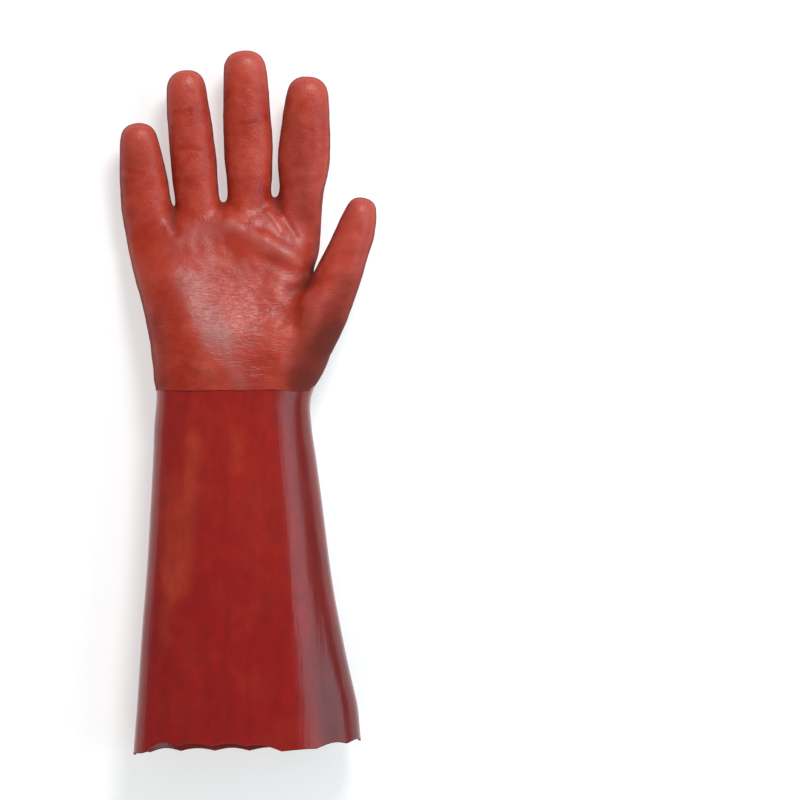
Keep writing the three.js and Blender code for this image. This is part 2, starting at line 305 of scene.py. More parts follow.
# %% [markdown]
# ## Folds and pads of the palm
#
# The coat sets while the glove is on its porcelain hand, and takes its pads and creases: a fold under the
# fingers, a crease beside the ball of the thumb, small puckers where two fingers part, and a crease across
# the pad of each finger. Each is a soft ridge or groove along a short line. It is measured across its line
# with a bell curve, so that it has no edge anywhere.
#
# Each line has its two ends, its height and its half width.

# %% Ridges and grooves of the palm side
PALM_FOLDS = [
    # the two balls of the heel and the valley between them
    dict(start=(-36, 62), end=(-12, 10), height=2.2, width=11.0),
    dict(start=(46, 46), end=(37, 16), height=2.2, width=10.0),
    dict(start=(16, 60), end=(13, 14), height=-0.9, width=10.0),
    # the pale ridge below the fingers, with the creases above and below it
    dict(start=(-1, 93), end=(18, 83), height=0.75, width=5.5),
    dict(start=(18, 83), end=(38, 73), height=0.8, width=4.6),
    dict(start=(0, 100), end=(14, 93), height=-0.25, width=3.0),
    dict(start=(14, 93), end=(36, 84), height=-0.42, width=2.8),
    dict(start=(16, 77), end=(38, 66), height=-0.6, width=4.2),
    # small folds at the root of the index finger
    dict(start=(20, 101), end=(28, 91), height=0.5, width=2.4),
    dict(start=(27, 104), end=(37, 87), height=-0.45, width=1.9),
    dict(start=(32, 100), end=(43, 84), height=0.3, width=2.2),
    # hollow of the palm and the pads beside it
    dict(start=(-4, 78), end=(18, 72), height=-0.6, width=9.0),
    dict(start=(-34, 88), end=(-22, 76), height=0.6, width=7.0),
    # the crease beside the ball of the thumb
    dict(start=(28, 44), end=(35, 54), height=-0.4, width=5.0),
    dict(start=(35, 54), end=(44, 60), height=-0.45, width=4.0),
    # puckers at the thumb's crotch
    dict(start=(38, 71), end=(43, 63), height=-0.22, width=1.1),
    dict(start=(41, 73), end=(45, 65), height=-0.22, width=1.1),
    dict(start=(44, 75), end=(47, 67), height=-0.22, width=1.1),
    # where two fingers part
    dict(start=(-35, 104), end=(-33, 90), height=-1.1, width=3.2),
    dict(start=(-6.5, 106), end=(-5, 99), height=-0.8, width=2.4),
    dict(start=(24.5, 109), end=(27, 102), height=-1.0, width=2.4),
    # creases across the pads of the fingers
    dict(start=(-33, 158), end=(-25, 158.5), height=-0.4, width=1.4),
    dict(start=(-30, 137), end=(-18, 136), height=-0.2, width=1.6),
    dict(start=(37, 149), end=(45, 147), height=-0.3, width=1.5),
    dict(start=(33, 128), end=(43, 127), height=-0.2, width=1.8),
    dict(start=(3, 152), end=(14, 152), height=-0.2, width=1.6),
    dict(start=(-59, 124), end=(-52, 123), height=-0.25, width=1.6),
]
WANDER = 2.2  # millimetres by which a line strays from straight
WANDER_SCALE = 60
WANDER_SEEDS = (1.0, 7.0)
WRIST_CLEAR, WRIST_FULL = 4, 16  # millimetres above the wrist line where the folds start and are full


def distance_to_line(point, start, end):
    """Distance from a point to a stretch of line, all in the plane of the palm."""
    along = end - start
    share = min(1.0, max(0.0, (point - start).dot(along) / along.length_squared))
    return (point - start - along * share).length


def laid_over(place, lines, key):
    """The sum of soft lines at a place. Each line adds its value of key along its middle."""
    spot = from_wrist(place)
    for axis, seed in enumerate(WANDER_SEEDS):
        spot[axis] += WANDER * noise.noise(Vector((place.x * WANDER_SCALE, place.y * WANDER_SCALE, seed)))
    total = 0.0
    for line in lines:
        across = distance_to_line(spot, Vector(line["start"]), Vector(line["end"])) / line["width"]
        if across < BELL_REACH:
            total += line[key] * bell(across)
    return total


def palm_relief(place):
    """How far a point of the palm side stands out, in metres."""
    above = (place.y - wrist_line) / MM
    return laid_over(place, PALM_FOLDS, "height") * MM * ease(above, WRIST_CLEAR, WRIST_FULL)


# %% Press the folds and a few soft lumps into the skin
LAP = 12 * MM  # how far hand and sleeve overlap
LUMPS = ((0.3 * MM, 70), (0.16 * MM, 190))  # height and scale of each noise
UPWARD_FULL = 0.6  # upward part of the normal from which a point takes the whole of a fold
STRIP_TOP, LUMPY_FROM = 0.5 * MM, 6 * MM  # the strip that it lies on stays flat

bm = opened(hand)
bm.normal_update()
for v in bm.verts:
    upwards = ease(v.normal.z, 0.0, UPWARD_FULL)
    lumps = sum(height * noise.noise(v.co * scale) for height, scale in LUMPS)
    free = ease(v.co.z, STRIP_TOP, LUMPY_FROM) * ease(v.co.y, wrist_line, wrist_line + LAP)
    v.co += v.normal * (palm_relief(v.co) * upwards + lumps * free)
closed(hand, bm)
print("palm folds:", len(PALM_FOLDS))

# %% [markdown]
# ## Where shade and highlights are painted
#
# The hand's colour carries painted shade and painted highlights. A crease gets a deeper, browner red as
# painted shade, and a ridge a paler one as a painted highlight. To know a valley from a ridge, the skin is
# compared with
# a much smoother copy of itself: in a valley the copy lies outside it, on a ridge inside. The difference is
# kept on the piece as an attribute, `valley`, which the material reads. A second attribute, `side`, says how
# far a place is turned away from the palm, and the material paints shade there, so the hand darkens towards
# its edges.
# A third holds spots painted darker, most of them painted shade: the corners between fingers, both sides of
# the gap beside the thumb and the side of the wrist below it; the index finger is darker too. Its negative
# values are painted highlights on the pads, the heel and the ridge below the fingers.

# %% Measure valleys and sides, and place the painted shade and highlights
SMOOTHER_PASSES = 45
VALLEY_FULL = 0.45 * MM
# Places painted darker, mostly as painted shade; negative values are painted highlights.
HAND_PAINTED_SHADE = [
    # painted shade at the side of the wrist and the root of the thumb
    dict(start=(66, 60), end=(55, 30), width=9.0, painted_shade=0.55),
    dict(start=(55, 30), end=(42, 3), width=9.5, painted_shade=0.7),
    dict(start=(40, 38), end=(36, 3), width=8.0, painted_shade=0.4),
    dict(start=(34, 58), end=(44, 61), width=4.0, painted_shade=0.35),
    dict(start=(-42, 46), end=(-38, 3), width=5.0, painted_shade=0.35),
    # painted shade on both sides of the gap beside the thumb
    dict(start=(49, 92), end=(45, 70), width=3.2, painted_shade=0.4),
    dict(start=(45, 70), end=(41, 60), width=3.6, painted_shade=0.45),
    dict(start=(60, 98), end=(50, 74), width=1.8, painted_shade=0.4),
    # painted shade in the corners between the fingers
    dict(start=(-34.5, 103), end=(-33.5, 91), width=3.4, painted_shade=0.5),
    dict(start=(-6, 106), end=(-5.5, 101), width=2.4, painted_shade=0.35),
    dict(start=(25, 110), end=(26.5, 104), width=2.8, painted_shade=0.55),
    # the index finger, darker, and painted highlights on the pads, the heel and the ridge below the fingers
    dict(start=(35, 150), end=(41, 100), width=8.5, painted_shade=0.42),
    dict(start=(-34, 82), end=(-8, 94), width=8.0, painted_shade=-0.35),
    dict(start=(-24, 56), end=(-8, 32), width=11.0, painted_shade=-0.5),
    dict(start=(-8, 32), end=(5, 6), width=7.5, painted_shade=-0.45),
    dict(start=(-2, 92), end=(30, 76), width=4.0, painted_shade=-0.35),
]

bm = opened(hand)
bm.normal_update()
spots = [v.co.copy() for v in bm.verts]
facing = [v.normal.copy() for v in bm.verts]
for _ in range(SMOOTHER_PASSES):
    relax(bm, bm.verts)
valley = bm.verts.layers.float.new("valley")
side = bm.verts.layers.float.new("side")
painted_shade = bm.verts.layers.float.new("painted_shade")
for v, spot, normal in zip(bm.verts, spots, facing):
    v[valley] = (v.co - spot).dot(normal) / VALLEY_FULL
    v[side] = 1 - abs(normal.z)
    v[painted_shade] = laid_over(spot, HAND_PAINTED_SHADE, "painted_shade")
    v.co = spot
depths = [v[valley] for v in bm.verts]
closed(hand, bm)
print("valleys run from", round(min(depths), 2), "to", round(max(depths), 2))

# %% [markdown]
# ## The rim at the wrist
#
# The hand's coat ends in a thin lip over the sleeve, a little wavy where the liquid ran. The skin is cut at
# the wrist line, its edge is drawn in until it is nearly flush, and a gentle wave is given to the last few
# millimetres.

# %% Cut, taper and wave the rim
LIP_RUN = 6 * MM
LIP_TAPER = 0.75 * MM
LIP_LOW = 4 * MM  # below this height the lip is drawn in less, and on the table not at all
LIP_WAVE = 1.1 * MM
LIP_WAVES = ((1.0, 45, 3.0), (0.5, 160, 5.0))  # share, scale and seed of each noise

bm = opened(hand)
everything = bm.verts[:] + bm.edges[:] + bm.faces[:]
bmesh.ops.bisect_plane(
    bm, geom=everything, plane_co=(0, wrist_line, 0), plane_no=(0, -1, 0), clear_outer=True
)
bm.normal_update()
for v in bm.verts:
    near = 1 - ease(v.co.y, wrist_line, wrist_line + LIP_RUN)
    if near > 0:
        wave = sum(
            share * noise.noise(Vector((v.co.x * scale, v.co.z * scale, seed)))
            for share, scale, seed in LIP_WAVES
        )
        v.co.x -= v.normal.x * LIP_TAPER * near
        v.co.z -= v.normal.z * LIP_TAPER * near * ease(v.co.z, 0, LIP_LOW)
        v.co.y += LIP_WAVE * wave * near
print("the lip ends at y", round(min(v.co.y for v in bm.verts), 4))

# %% [markdown]
# ## The wall of the hand
#
# The inside of the glove hardly shows, so it keeps the solid's own inner skin, cut once finer so that it can
# follow the gap and the folds. It goes into the same bmesh as the outer skin, and bridge_loops closes the lip
# between the two. Solidify would do this in one step, but it would make the inside as fine as the outside.

# %% Add the inner skin and close the lip
inner = skin(hand_node, outside=False)
bmesh.ops.subdivide_edges(inner, edges=inner.edges, cuts=1, use_grid_fill=True)
inner.normal_update()
for v in inner.verts:
    v.co += drawn_in(v.co, INNER_GAP_WIDTH)
    v.co -= v.normal * palm_relief(v.co) * ease(-v.normal.z, 0.0, UPWARD_FULL)
inner_mesh = bpy.data.meshes.new("inner skin")
inner.to_mesh(inner_mesh)
inner.free()
bm.from_mesh(inner_mesh)
bpy.data.meshes.remove(inner_mesh)
bmesh.ops.bridge_loops(bm, edges=[e for e in bm.edges if e.is_boundary])
open_edges = sum(1 for e in bm.edges if not e.is_manifold)
print("hand: volume", round(bm.calc_volume(signed=True) * 1e6, 1), "cm3, open edges", open_edges)
closed(hand, bm)
hand.data.shade_smooth()
print("hand:", count_triangles(hand), "triangles")

# %% [markdown]
# ## The sleeve
#
# The sleeve is a tube whose section changes all the way: round at the wrist and a wide flattened oval at the
# mouth. Its sections are measured on the solid by cutting a copy of it with planes, which bisect_plane does.
# Then a circle is extruded ring by ring and each ring is moved onto the section for its place. A smooth
# formula for the section, the superellipse, gives a gloss without facets.

# %% Measure the solid's sections
SECTION_COUNT = 14
MOUTH_SLANT = 8 * MM
SCALLOP_DEPTH = 1.8 * MM
END_MARGIN = 0.5 * MM  # a plane right at the solid's end would cut nothing

sleeve_low, sleeve_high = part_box("gauntlet")


def section(node, y):
    """The box of the solid where the plane at y cuts it, as little side, thumb side and top."""
    bm = bmesh.new()
    bm.from_mesh(node.data)
    everything = bm.verts[:] + bm.edges[:] + bm.faces[:]
    made = bmesh.ops.bisect_plane(bm, geom=everything, plane_co=(0, y, 0), plane_no=(0, 1, 0))
    places = [v.co for v in made["geom_cut"] if isinstance(v, bmesh.types.BMVert)]
    found = (min(p.x for p in places), max(p.x for p in places), max(p.z for p in places))
    bm.free()
    return found


first_whole = sleeve_low.y + MOUTH_SLANT + 2 * SCALLOP_DEPTH
last_whole = sleeve_high.y - END_MARGIN
section_run = (last_whole - first_whole) / (SECTION_COUNT - 1)
sections = [section(gauntlet_node, first_whole + i * section_run) for i in range(SECTION_COUNT)]
print("mouth", [round(v, 4) for v in sections[0]], "wrist", [round(v, 4) for v in sections[-2]])


# %% Read the sections as smooth curves
def sleeve_size(y):
    """Little side, thumb side and top of the sleeve at y, past the measured stretch too."""
    spot = (y - first_whole) / section_run
    i = int(min(max(math.floor(spot), 0), SECTION_COUNT - 2))
    t = spot - i
    sizes = []
    for k in range(3):
        a, b = sections[i][k], sections[i + 1][k]
        before = sections[i - 1][k] if i > 0 else 2 * a - b
        after = sections[i + 2][k] if i + 2 < SECTION_COUNT else 2 * b - a
        if t < 0:
            sizes.append(a + (b - a) * t)
            continue
        start_slope, end_slope = (b - before) / 2, (after - a) / 2
        t2, t3 = t * t, t * t * t
        sizes.append(
            (2 * t3 - 3 * t2 + 1) * a + (t3 - 2 * t2 + t) * start_slope
            + (3 * t2 - 2 * t3) * b + (t3 - t2) * end_slope
        )
    return sizes


# %% [markdown]
# The section itself is a superellipse: like an ellipse, but with a power of 2.5 in place of 2, which makes it
# a little boxier, as a forearm lying down is. Its underside gives where it lies, so it's cut off flat there,
# and the corner of that flat is rounded.

# %% A point of the sleeve's skin
SQUARENESS = 2.5
FLATTEN = 1.6 * MM
FLAT_SOFTNESS = 1.2 * MM
SOFT_BELOW = 8 * FLAT_SOFTNESS  # higher up, the rounding of the flat changes nothing


def signed_power(value, power):
    return math.copysign(abs(value) ** power, value)


def sleeve_point(angle, y):
    """The skin at an angle round the sleeve, counted from the thumb side over the palm side."""
    little, thumb, top = sleeve_size(y)
    half_depth = (top + FLATTEN) / 2
    x = (little + thumb) / 2 + (thumb - little) / 2 * signed_power(math.cos(angle), 2 / SQUARENESS)
    z = top - half_depth + half_depth * signed_power(math.sin(angle), 2 / SQUARENESS)
    lifted = FLAT_SOFTNESS * math.log1p(math.exp(z / FLAT_SOFTNESS))
    return Vector((x, y, lifted if z < SOFT_BELOW else z))


print("thumb side at the mouth", [round(v, 4) for v in sleeve_point(0, first_whole)])

# %% [markdown]
# ## The scalloped mouth
#
# The mouth is trimmed with a wavy blade: small arcs that meet in points. The absolute value of a sine draws
# just that. The arcs are equally long on the cloth, so the points of the mesh are first spaced evenly round
# the section. Equal angles would be simpler, but would stretch the arcs in the middle and crowd them at the
# sides. The sleeve is a little shorter at the thumb side, so the edge slants up there. On the other side the
# upper wall has slipped back from the one that lies on the table, so the inside of that one shows. The slip
# is larger than it looks, because the raised edge is nearer to the camera and seems to stand farther out.

# %% Where the edge of the mouth runs
SCALLOPS = 16
AROUND = SCALLOPS * 18
FINER = 8  # how many times finer the section is measured than it is parted
SLANT_REACH = 60 * MM
UPPER_SLIP = 7 * MM
LEAST_ARC, ARC_SPREAD = 0.85, 0.5  # how deep the arcs are, as shares of their named depth
ARC_SCALE, ARC_SEED = 2, 9.0


def evenly_round(y):
    """AROUND angles that part the sleeve's section at y into equal lengths."""
    tries = [2 * math.pi * i / (AROUND * FINER) for i in range(AROUND * FINER + 1)]
    places = [sleeve_point(angle, y) for angle in tries]
    run = [0.0]
    for here, there in zip(places, places[1:]):
        run.append(run[-1] + (there - here).length)
    found, i = [], 0
    for k in range(AROUND):
        wanted = run[-1] * k / AROUND
        while run[i + 1] < wanted:
            i += 1
        found.append(tries[i] + (tries[i + 1] - tries[i]) * (wanted - run[i]) / (run[i + 1] - run[i]))
    return found


ANGLES = evenly_round(first_whole)


def mouth_edge(i):
    """How far the edge lies above the lowest point of the mouth, at point i of the ring."""
    angle = ANGLES[i]
    across = signed_power(math.cos(angle), 2 / SQUARENESS)
    spot = Vector((math.cos(angle) * ARC_SCALE, math.sin(angle) * ARC_SCALE, ARC_SEED))
    uneven = LEAST_ARC + ARC_SPREAD * noise.noise(spot)
    arc = abs(math.sin(math.pi * SCALLOPS * i / AROUND))
    slip = UPPER_SLIP * ease(math.sin(angle), 0.3, 0.8) * ease(-across, -0.5, 0.0)
    return MOUTH_SLANT * ease(max(0.0, across)) + SCALLOP_DEPTH * uneven * arc + slip


print(SCALLOPS, "scallops,", AROUND, "points round the mouth")

# %% [markdown]
# ## Soft folds of the sleeve
#
# The thin coat on cloth isn't a machined cone. A long soft edge runs down its thumb side from the wrist and
# parts the flat front from the side, and shallow flutes run beside it. They are what bends the highlights, so
# they belong in the mesh and not only in the material. Each fold has a line, a height and a width, and all
# three change from the wrist to the mouth.

# %% Folds along the sleeve
SLEEVE_FOLDS = [
    # across, height and half width in millimetres, each at the wrist and at the mouth
    dict(across=(25, 35), height=(0.5, 2.1), width=(7, 13)),
    dict(across=(38, 58), height=(0.0, -1.0), width=(5, 7)),
    dict(across=(14, 14), height=(-0.25, -0.5), width=(8, 12)),
    dict(across=(-26, -30), height=(0.7, 0.1), width=(6, 8)),
    dict(across=(-12, -16), height=(-0.3, -0.2), width=(7, 12)),
    dict(across=(0, 4), height=(0.1, 0.5), width=(9, 15)),
    dict(across=(-44, -62), height=(0.0, 0.8), width=(5, 8)),
]
FOLD_FADE = 24 * MM  # below the wrist line, where the sleeve is still round


def sleeve_relief(place):
    """How far the upper side of the sleeve stands out, in metres."""
    below = wrist_line - place.y
    share = min(1.0, max(0.0, below / (wrist_line - sleeve_low.y)))
    total = 0.0
    for fold in SLEEVE_FOLDS:
        across, height, width = (
            first + (last - first) * share for first, last in (fold["across"], fold["height"], fold["width"])
        )
        apart = (place.x - WRIST_MIDDLE.x - across * MM) / (width * MM)
        total += height * bell(apart)
    return total * MM * ease(below, 0, FOLD_FADE)


print("folds along the sleeve:", len(SLEEVE_FOLDS))

# %% [markdown]
# The rings lie close together at the mouth, so that the shading of the cut edge stays narrow. Two
# attributes go with them: one for painted shade down the thumb side, as on the hand, whose negative values
# are faint bands of painted light, and `cut` for the trimmed edge, which is matt and dark.

# %% Build the sleeve ring by ring
SLEEVE_RINGS = 74
RING_CROWDING = 1.4
TOP_TUCK = 4 * MM  # how far up inside the hand the finished sleeve still runs
SOFT_LUMP = 0.5 * MM
SOFT_ACROSS, SOFT_ALONG = 28, 9  # scales of the noise, which is drawn out along the sleeve
SLEEVE_UPWARD_FULL = 0.5
SLEEVE_LUMPY_FROM = 8 * MM
# Painted shade down the thumb side and below the wrist; negative values are bands of painted light on the
# little side and the front.
SLEEVE_PAINTED_SHADE = [
    dict(start=(37, -2), end=(60, -200), width=11.0, painted_shade=0.75),
    dict(start=(44, -150), end=(50, -190), width=11.0, painted_shade=0.3),
    dict(start=(62, -140), end=(70, -200), width=8.0, painted_shade=0.6),
    dict(start=(4, -8), end=(24, -14), width=7.0, painted_shade=0.25),
    dict(start=(-20, -28), end=(-30, -112), width=6.5, painted_shade=-0.6),
    dict(start=(-35, -50), end=(-37, -140), width=5.0, painted_shade=-0.4),
    dict(start=(2, -24), end=(3, -42), width=6.0, painted_shade=-0.4),
]


def shape_ring(points, share):
    """Moves one ring of points onto the sleeve. share is 0 at the mouth and 1 at the top."""
    top = wrist_line + TOP_TUCK
    for i, point in enumerate(points):
        edge = sleeve_low.y + mouth_edge(i) * (1 - ease(share, 0, SLANT_REACH / (top - sleeve_low.y)))
        y = edge + (top - edge) * share
        point.co = sleeve_point(ANGLES[i], y)


def next_ring(bm, ring):
    """Extrudes a ring and gives the new points, in the order of the old ones."""
    old = set(ring)
    edges = [e for e in bm.edges if e.verts[0] in old and e.verts[1] in old]
    made = bmesh.ops.extrude_edge_only(bm, edges=edges)["geom"]
    fresh = {v for v in made if isinstance(v, bmesh.types.BMVert)}
    return [next(o for e in v.link_edges for o in [e.other_vert(v)] if o in fresh) for v in ring]


bm = bmesh.new()
bmesh.ops.create_circle(bm, segments=AROUND, radius=1)
cut = bm.verts.layers.float.new("cut")
ring = sorted(bm.verts, key=lambda v: math.atan2(v.co.y, v.co.x) % (2 * math.pi))
shape_ring(ring, 0)
for v in ring:
    v[cut] = 1.0
for step in range(1, SLEEVE_RINGS + 1):
    ring = next_ring(bm, ring)
    shape_ring(ring, (step / SLEEVE_RINGS) ** RING_CROWDING)
    for v in ring:
        v[cut] = 0.0
bmesh.ops.recalc_face_normals(bm, faces=bm.faces)
bm.normal_update()
painted_shade = bm.verts.layers.float.new("painted_shade")
for v in bm.verts:
    upwards = ease(v.normal.z, 0.0, SLEEVE_UPWARD_FULL)
    spot = Vector((v.co.x * SOFT_ACROSS, v.co.y * SOFT_ALONG, v.co.z * SOFT_ACROSS))
    lump = SOFT_LUMP * noise.noise(spot)
    free = ease(v.co.z, STRIP_TOP, SLEEVE_LUMPY_FROM) * ease(wrist_line - v.co.y, 0, FOLD_FADE)
    v[painted_shade] = laid_over(v.co, SLEEVE_PAINTED_SHADE, "painted_shade")
    v.co += v.normal * (sleeve_relief(v.co) * upwards + lump * free)
gauntlet = make_piece("glove_sleeve", bm)
print("sleeve skin of", len(gauntlet.data.polygons), "squares")

# %% Give the sleeve its wall
CUFF_WALL = 1.5 * MM

wall = gauntlet.modifiers.new("wall", "SOLIDIFY")
wall.thickness = CUFF_WALL
wall.offset = -1
settle(gauntlet)
gauntlet.data.shade_smooth()
print("sleeve:", count_triangles(gauntlet), "triangles")

# %% [markdown]
# ## Materials
#
# Both coats are the same PVC, in two thicknesses and with two surfaces. A helper makes a material with its
# Principled shader and gives short ways to add nodes and join them, so that each recipe below reads like a
# list. Every pattern is laid out in Object coordinates, which are metres here, so a noise of scale 100 has
# features of about 10 mm.


# %% A small workbench for nodes
class Recipe:
    """A material, and short ways to add nodes to it."""

    def __init__(self, name):
        self.material = bpy.data.materials.new(name)
        self.material.use_nodes = True
        self.nodes = self.material.node_tree.nodes
        self.links = self.material.node_tree.links
        self.shader = self.nodes["Principled BSDF"]
        self.places = self.nodes.new("ShaderNodeTexCoord").outputs["Object"]

    def join(self, source, target):
        self.links.new(source, target)

    def stretched(self, x, y, z):
        """Object coordinates times a scale for each axis."""
        node = self.nodes.new("ShaderNodeMapping")
        node.inputs["Scale"].default_value = (x, y, z)
        self.join(self.places, node.inputs["Vector"])
        return node.outputs["Vector"]

    def noise(self, scale, detail=3.0, vector=None, distortion=0.0, roughness=0.5):
        node = self.nodes.new("ShaderNodeTexNoise")
        node.inputs["Scale"].default_value = scale
        node.inputs["Detail"].default_value = detail
        node.inputs["Roughness"].default_value = roughness
        node.inputs["Distortion"].default_value = distortion
        self.join(vector or self.places, node.inputs["Vector"])
        return node.outputs["Fac"]

    def ramp(self, value, *stops):
        """A value or colour that runs through stops of (place, colour)."""
        node = self.nodes.new("ShaderNodeValToRGB")
        elements = node.color_ramp.elements
        while len(elements) < len(stops):
            elements.new(0.5)
        for element, (place, colour) in zip(elements, stops):
            element.position = place
            element.color = (*colour, 1)
        self.join(value, node.inputs["Fac"])
        return node.outputs["Color"]

    def scaled(self, value, factor):
        node = self.nodes.new("ShaderNodeMath")
        node.operation = "MULTIPLY"
        self.join(value, node.inputs[0])
        node.inputs[1].default_value = factor
        return node.outputs["Value"]

    def mix(self, share, a, b, blend="MIX"):
        """Blends a with b by a share. Each is a socket, the share may be a number, a and b colours."""
        node = self.nodes.new("ShaderNodeMix")
        node.data_type = "RGBA"
        node.blend_type = blend
        for key, value in (("Factor_Float", share), ("A_Color", a), ("B_Color", b)):
            socket = next(s for s in node.inputs if s.identifier == key)
            if isinstance(value, (int, float)):
                socket.default_value = value
            elif isinstance(value, tuple):
                socket.default_value = (*value, 1)
            else:
                self.join(value, socket)
        return next(s for s in node.outputs if s.identifier == "Result_Color")

    def bump(self, height, distance, strength, onto=None):
        node = self.nodes.new("ShaderNodeBump")
        node.inputs["Distance"].default_value = distance
        node.inputs["Strength"].default_value = strength
        self.join(height, node.inputs["Height"])
        if onto:
            self.join(onto, node.inputs["Normal"])
        return node.outputs["Normal"]

    def attribute(self, name):
        """A number kept on the piece's points."""
        node = self.nodes.new("ShaderNodeAttribute")
        node.attribute_name = name
        return node.outputs["Fac"]

    def axis(self, name):
        """One of the Object coordinates: X, Y or Z."""
        node = self.nodes.new("ShaderNodeSeparateXYZ")
        self.join(self.places, node.inputs["Vector"])
        return node.outputs[name]

    def between(self, value, low, high):
        """Runs from 0 to 1 as the value goes from low to high."""
        node = self.nodes.new("ShaderNodeMapRange")
        node.interpolation_type = "SMOOTHSTEP"
        node.inputs["From Min"].default_value = low
        node.inputs["From Max"].default_value = high
        self.join(value, node.inputs["Value"])
        return node.outputs["Result"]


def from_screen(red, green, blue):
    """A colour read off a screen, 0 to 255, as the linear colour that shaders take."""
    def linear(value):
        value /= 255
        return value / 12.92 if value <= 0.04045 else ((value + 0.055) / 1.055) ** 2.4
    return tuple(linear(v) for v in (red, green, blue))


def grey(value):
    """The same value for all three channels, for ramps and mixes that stand for a number."""
    return value, value, value


print("half bright on the screen is", round(from_screen(128, 128, 128)[0], 3), "in linear light")

# %% [markdown]
# ### The rough coat
#
# Its grip is a crinkle of shallow cells one to two millimetres wide, pressed while the PVC was soft. They
# show by the way they break up the light, much more than by their colour, so most of the crinkle is bump. Its
# little colour is painted shade in the pits and painted highlight on the crests. In the hollow of the palm it
# is calmer, and on the heel it is drawn out sideways in fine waves. A larger noise makes patches where the
# coat is thicker and a shade deeper. The three attributes measured above bring painted highlights on the
# ridges, pads and heel, and painted shade in the creases, on the sides and in the darker spots. The sides and
# the spots of painted shade are also duller.

# %% Rough brick red PVC
BRICK = from_screen(168, 44, 22)
BRICK_DEEP = from_screen(152, 31, 12)
BRICK_PALE = from_screen(180, 60, 40)
# Colours of painted shade and painted highlights, which the attributes lay on.
CREASE_SHADE = from_screen(128, 32, 12)
SIDE_SHADE = from_screen(100, 27, 17)
RIDGE_HIGHLIGHT = from_screen(188, 80, 66)
PAINTED_HIGHLIGHT = from_screen(160, 84, 77)
SHADE_SPOTS = from_screen(104, 26, 8)
CRINKLE_DEPTH = 0.3 * MM
HOLLOW_TOP, HOLLOW_FULL = 0.112, 0.098  # metres along the glove, from above the knuckles downwards
HEEL_TOP, HEEL_FULL = 0.090, 0.055

rough = Recipe("rough_pvc")
patches = rough.noise(34, detail=4, roughness=0.6)
cells = rough.noise(640, detail=3, distortion=0.6, vector=rough.stretched(1, 1.15, 1))
waves = rough.noise(480, detail=2, distortion=1.4, vector=rough.stretched(0.3, 1.1, 0.5))
up = rough.axis("Y")
hollow = rough.scaled(rough.between(up, HOLLOW_TOP, HOLLOW_FULL), 0.6)
calm = rough.mix(hollow, cells, grey(0.5))
heel = rough.between(up, HEEL_TOP, HEEL_FULL)
crinkle = rough.mix(heel, calm, waves)
tone = rough.ramp(patches, (0.34, BRICK_DEEP), (0.5, BRICK), (0.68, BRICK_PALE))
# The crinkle's colour follows its bump: painted shade in the pits, painted highlight, a little cooler, on the
# crests.
lit = rough.ramp(crinkle, (0.36, (0.86, 0.84, 0.84)), (0.5, grey(0.98)), (0.64, (1.07, 1.09, 1.09)))
grained = rough.mix(1.0, tone, lit, "MULTIPLY")
depth = rough.attribute("valley")
# Painted highlight on the ridges and painted shade in the creases, both measured by the valley attribute.
with_ridge_light = rough.mix(rough.scaled(rough.between(depth, -0.15, -1.0), 0.5), grained, RIDGE_HIGHLIGHT)
with_crease_shade = rough.mix(rough.scaled(rough.between(depth, 0.15, 1.6), 0.7), with_ridge_light, CREASE_SHADE)
# Spots of painted shade darken the colour, and negative values lay on painted highlights.
shade_paint = rough.attribute("painted_shade")
with_highlight = rough.mix(rough.between(shade_paint, 0.0, -1.0), with_crease_shade, PAINTED_HIGHLIGHT)
with_shade = rough.mix(rough.between(shade_paint, 0.0, 1.0), with_highlight, SHADE_SPOTS)
# Painted shade on the places turned away from the palm, darkening the hand towards its edges.
side = rough.attribute("side")
with_side_shade = rough.mix(rough.scaled(rough.between(side, 0.4, 1.0), 0.75), with_shade, SIDE_SHADE)
rough.join(with_side_shade, rough.shader.inputs["Base Color"])
shine = rough.ramp(crinkle, (0.35, grey(0.45)), (0.65, grey(0.36)))
matt = grey(0.85)
shine_dulled_in_shade = rough.mix(rough.between(shade_paint, 0.0, 0.6), shine, matt)
turned = rough.between(side, 0.3, 0.8)
rough.join(rough.mix(turned, shine_dulled_in_shade, matt), rough.shader.inputs["Roughness"])
coarse = rough.bump(rough.noise(190, detail=2), 0.3 * MM, 0.5)
rough.join(rough.bump(crinkle, CRINKLE_DEPTH, 1.0, onto=coarse), rough.shader.inputs["Normal"])
rough.shader.inputs["Specular IOR Level"].default_value = 0.4
print("rough coat:", len(rough.nodes), "nodes")

# %% [markdown]
# ### The smooth coat
#
# The sleeve was dipped once and hung to drip, so faint streaks run along it and the colour deepens towards
# the mouth. The coat is mottled, with warm clouds, a few bands of painted light, and painted shade down the
# thumb side.
# It reflects lights almost like a mirror that's a little blurred, and shallow bumps of streaks, drips and a
# fine grain keep the reflections from being too perfect. Only the trimmed edge is dark and dull.

# %% Smooth dark red PVC
CUFF_TOP = from_screen(149, 19, 9)
CUFF_LOW = from_screen(142, 8, 4)
CUFF_WARM = from_screen(146, 28, 9)
# A colour of painted light and one of painted shade for the sleeve.
CUFF_PAINTED_LIGHT = from_screen(165, 46, 27)
CUFF_SHADE = from_screen(108, 20, 16)
CUT_EDGE = from_screen(96, 22, 12)
DEEPEST = 50 * MM  # the colour is at its deepest this far above the mouth and below

sleek = Recipe("smooth_pvc")
streaks = sleek.noise(1, detail=3, vector=sleek.stretched(110, 14, 110))
clouds = sleek.noise(30, detail=4, roughness=0.6)
down = sleek.between(sleek.axis("Y"), wrist_line, sleeve_low.y + DEEPEST)
ground = sleek.mix(down, CUFF_TOP, CUFF_LOW)
warm = sleek.mix(sleek.scaled(sleek.between(clouds, 0.45, 0.75), 0.6), ground, CUFF_WARM)
